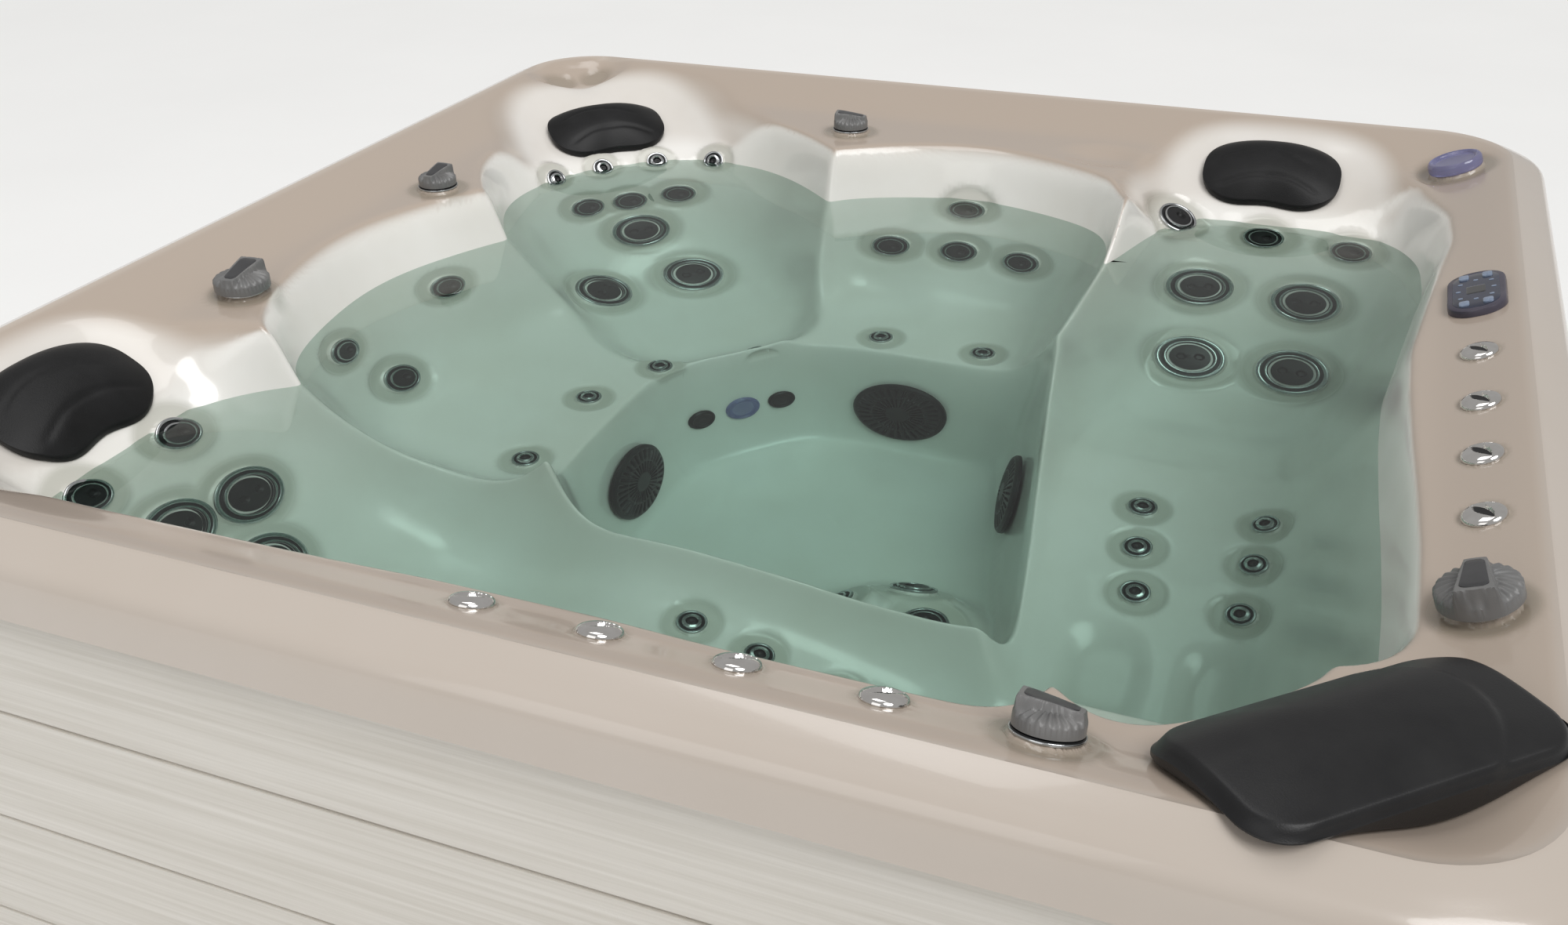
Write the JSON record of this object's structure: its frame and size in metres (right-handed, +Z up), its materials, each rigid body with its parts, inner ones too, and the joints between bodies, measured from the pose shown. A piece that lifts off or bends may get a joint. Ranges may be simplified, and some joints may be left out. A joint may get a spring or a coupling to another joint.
{
  "type": "hot tub",
  "caption": "Square acrylic hot tub with moulded seats and loungers, massage jets, footwell, skimmer filter, head pillows, rim controls and a boarded cabinet.",
  "frame": {"origin": "middle of the base, on the floor", "axes": "+Z up; +Y to the far side of the picture; the filter lid stands in the +X, -Y corner"},
  "size_m": [2.1397, 2.1398, 0.9097],
  "materials": {
    "abs_black": "satin",
    "abs_grey": "satin",
    "acrylic": "gloss",
    "button_film": "satin",
    "cabinet_board": "matte board",
    "cartridge_paper": "pleated paper",
    "chrome": "polished",
    "clear_lens": "clear gloss",
    "console_film": "gloss",
    "foam_block": "foam",
    "galvanised": "galvanised",
    "motor_paint": "satin paint",
    "pillow_foam": "matte, soft foam skin",
    "stainless": "satin"
  },
  "bodies": {
    "tub": {"air_blower": "abs_black", "back_left_corner": "cabinet_board", "back_panel": "cabinet_board", "back_right_corner": "cabinet_board", "back_seat_jets": "stainless", "base_tray": "abs_black", "control_box": "abs_grey", "control_panel": "console_film", "corner_pillow": "pillow_foam", "corner_seat_jets": "stainless", "filter_bucket": "abs_black", "filter_cartridge": "cartridge_paper", "foot_jets": "stainless", "footwell_lamp": "clear_lens", "footwell_support": "foam_block", "front_left_corner": "cabinet_board", "front_panel": "cabinet_board", "front_right_corner": "cabinet_board", "heater": "stainless", "left_panel": "cabinet_board", "left_seat_jets": "stainless", "light_cup": "clear_lens", "lounger_back_jets": "stainless", "lounger_calf_jets": "stainless", "lounger_pillow": "pillow_foam", "near_fountains": "chrome", "near_lounger_jets": "stainless", "near_pillow": "pillow_foam", "pump_motor": "motor_paint", "pump_wet_end": "abs_black", "right_fountains": "chrome", "right_panel": "cabinet_board", "riser_cap_left": "abs_black", "riser_cap_right": "abs_black", "shell": "acrylic", "suction_back": "abs_black", "suction_left": "abs_black", "suction_right": "abs_black", "support_frame": "galvanised"},
    "air_button_body": {"air_button": "button_film"},
    "back_knob_body": {"back_knob": "abs_grey"},
    "corner_seat_face_1_body": {"corner_seat_face_1": "abs_black"},
    "corner_seat_face_2_body": {"corner_seat_face_2": "abs_black"},
    "corner_seat_face_3_body": {"corner_seat_face_3": "abs_black"},
    "lamp_button_body": {"lamp_button": "button_film"},
    "left_big_knob_body": {"left_big_knob": "abs_grey"},
    "left_far_knob_body": {"left_far_knob": "abs_grey"},
    "lounger_back_face_1_body": {"lounger_back_face_1": "abs_black"},
    "lounger_back_face_2_body": {"lounger_back_face_2": "abs_black"},
    "lounger_back_face_3_body": {"lounger_back_face_3": "abs_black"},
    "lounger_back_face_4_body": {"lounger_back_face_4": "abs_black"},
    "near_knob_body": {"near_knob": "abs_grey"},
    "near_lounger_face_1_body": {"near_lounger_face_1": "abs_black"},
    "near_lounger_face_2_body": {"near_lounger_face_2": "abs_black"},
    "near_lounger_face_3_body": {"near_lounger_face_3": "abs_black"},
    "pump_button_body": {"pump_button": "button_film"},
    "right_knob_body": {"right_knob": "abs_grey"},
    "warmer_button_body": {"warmer_button": "button_film"},
    "weir_flap_body": {"weir_flap": "abs_grey"},
    "filter_lid_body": {"filter_lid": "abs_black"}
  },
  "joints": [
    {"name": "air_button_press", "type": "slide", "parent": "tub", "child": "air_button_body", "axis": [0.3671, 0.0002, -0.9302], "range_m": [0, 0.0015], "stiffness_N_per_m": 300},
    {"name": "back_knob_turn", "type": "hinge", "parent": "tub", "child": "back_knob_body", "pos_m": [-0.21504, 0.77522, 0.84009], "axis": [-0.0059, 0.0347, 0.9994], "range_deg": [-90, 90]},
    {"name": "corner_seat_face_1_turn", "type": "hinge", "parent": "tub", "child": "corner_seat_face_1_body", "pos_m": [-0.59866, 0.56899, 0.49864], "axis": [0.5886, -0.5633, 0.5798], "range_deg": [-45, 45]},
    {"name": "corner_seat_face_2_turn", "type": "hinge", "parent": "tub", "child": "corner_seat_face_2_body", "pos_m": [-0.57763, 0.35615, 0.40295], "axis": [0.4569, 0.0713, 0.8866], "range_deg": [-45, 45]},
    {"name": "corner_seat_face_3_turn", "type": "hinge", "parent": "tub", "child": "corner_seat_face_3_body", "pos_m": [-0.45239, 0.50305, 0.38494], "axis": [0.2637, -0.1965, 0.9444], "range_deg": [-45, 45]},
    {"name": "lamp_button_press", "type": "slide", "parent": "tub", "child": "lamp_button_body", "axis": [0.3671, 0.0002, -0.9302], "range_m": [0, 0.0015], "stiffness_N_per_m": 300},
    {"name": "left_big_knob_turn", "type": "hinge", "parent": "tub", "child": "left_big_knob_body", "pos_m": [-0.83493, -0.31499, 0.83981], "axis": [0.0125, 0.0017, 0.9999], "range_deg": [-90, 90]},
    {"name": "left_far_knob_turn", "type": "hinge", "parent": "tub", "child": "left_far_knob_body", "pos_m": [-0.81993, 0.205, 0.83966], "axis": [0.011, 0, 0.9999], "range_deg": [-90, 90]},
    {"name": "lounger_back_face_1_turn", "type": "hinge", "parent": "tub", "child": "lounger_back_face_1_body", "pos_m": [0.51882, 0.6093, 0.55626], "axis": [0.2671, -0.7483, 0.6072], "range_deg": [-45, 45]},
    {"name": "lounger_back_face_2_turn", "type": "hinge", "parent": "tub", "child": "lounger_back_face_2_body", "pos_m": [0.70502, 0.6154, 0.53787], "axis": [0.0027, -0.7463, 0.6656], "range_deg": [-45, 45]},
    {"name": "lounger_back_face_3_turn", "type": "hinge", "parent": "tub", "child": "lounger_back_face_3_body", "pos_m": [0.53182, 0.46132, 0.39982], "axis": [0.1135, -0.5409, 0.8334], "range_deg": [-45, 45]},
    {"name": "lounger_back_face_4_turn", "type": "hinge", "parent": "tub", "child": "lounger_back_face_4_body", "pos_m": [0.7045, 0.46293, 0.39754], "axis": [-0.0383, -0.5446, 0.8378], "range_deg": [-45, 45]},
    {"name": "near_knob_turn", "type": "hinge", "parent": "tub", "child": "near_knob_body", "pos_m": [0.575, -0.9328, 0.85869], "axis": [0, 0.3689, 0.9295], "range_deg": [-90, 90]},
    {"name": "near_lounger_face_1_turn", "type": "hinge", "parent": "tub", "child": "near_lounger_face_1_body", "pos_m": [-0.67118, -0.69999, 0.58346], "axis": [0.8454, 0.0024, 0.5341], "range_deg": [-45, 45]},
    {"name": "near_lounger_face_2_turn", "type": "hinge", "parent": "tub", "child": "near_lounger_face_2_body", "pos_m": [-0.65292, -0.57998, 0.56125], "axis": [0.8454, 0.0024, 0.5341], "range_deg": [-45, 45]},
    {"name": "near_lounger_face_3_turn", "type": "hinge", "parent": "tub", "child": "near_lounger_face_3_body", "pos_m": [-0.57025, -0.64998, 0.45955], "axis": [0.7655, 0.0027, 0.6435], "range_deg": [-45, 45]},
    {"name": "pump_button_press", "type": "slide", "parent": "tub", "child": "pump_button_body", "axis": [0.3671, 0.0002, -0.9302], "range_m": [0, 0.0015], "stiffness_N_per_m": 300},
    {"name": "right_knob_turn", "type": "hinge", "parent": "tub", "child": "right_knob_body", "pos_m": [0.93792, -0.585, 0.8601], "axis": [-0.3709, 0, 0.9287], "range_deg": [-90, 90]},
    {"name": "warmer_button_press", "type": "slide", "parent": "tub", "child": "warmer_button_body", "axis": [0.3671, 0.0002, -0.9302], "range_m": [0, 0.0015], "stiffness_N_per_m": 300},
    {"name": "weir_flap_hinge", "type": "hinge", "parent": "tub", "child": "weir_flap_body", "pos_m": [0.74293, -0.75627, 0.7002], "axis": [-0.7314, -0.682, 0], "range_deg": [-62, 0], "stiffness_Nm_per_rad": 0.08},
    {"name": "filter_lid_lift", "type": "slide", "parent": "tub", "child": "filter_lid_body", "axis": [0, 0, 1], "range_m": [0, 0.15]}
  ]
}
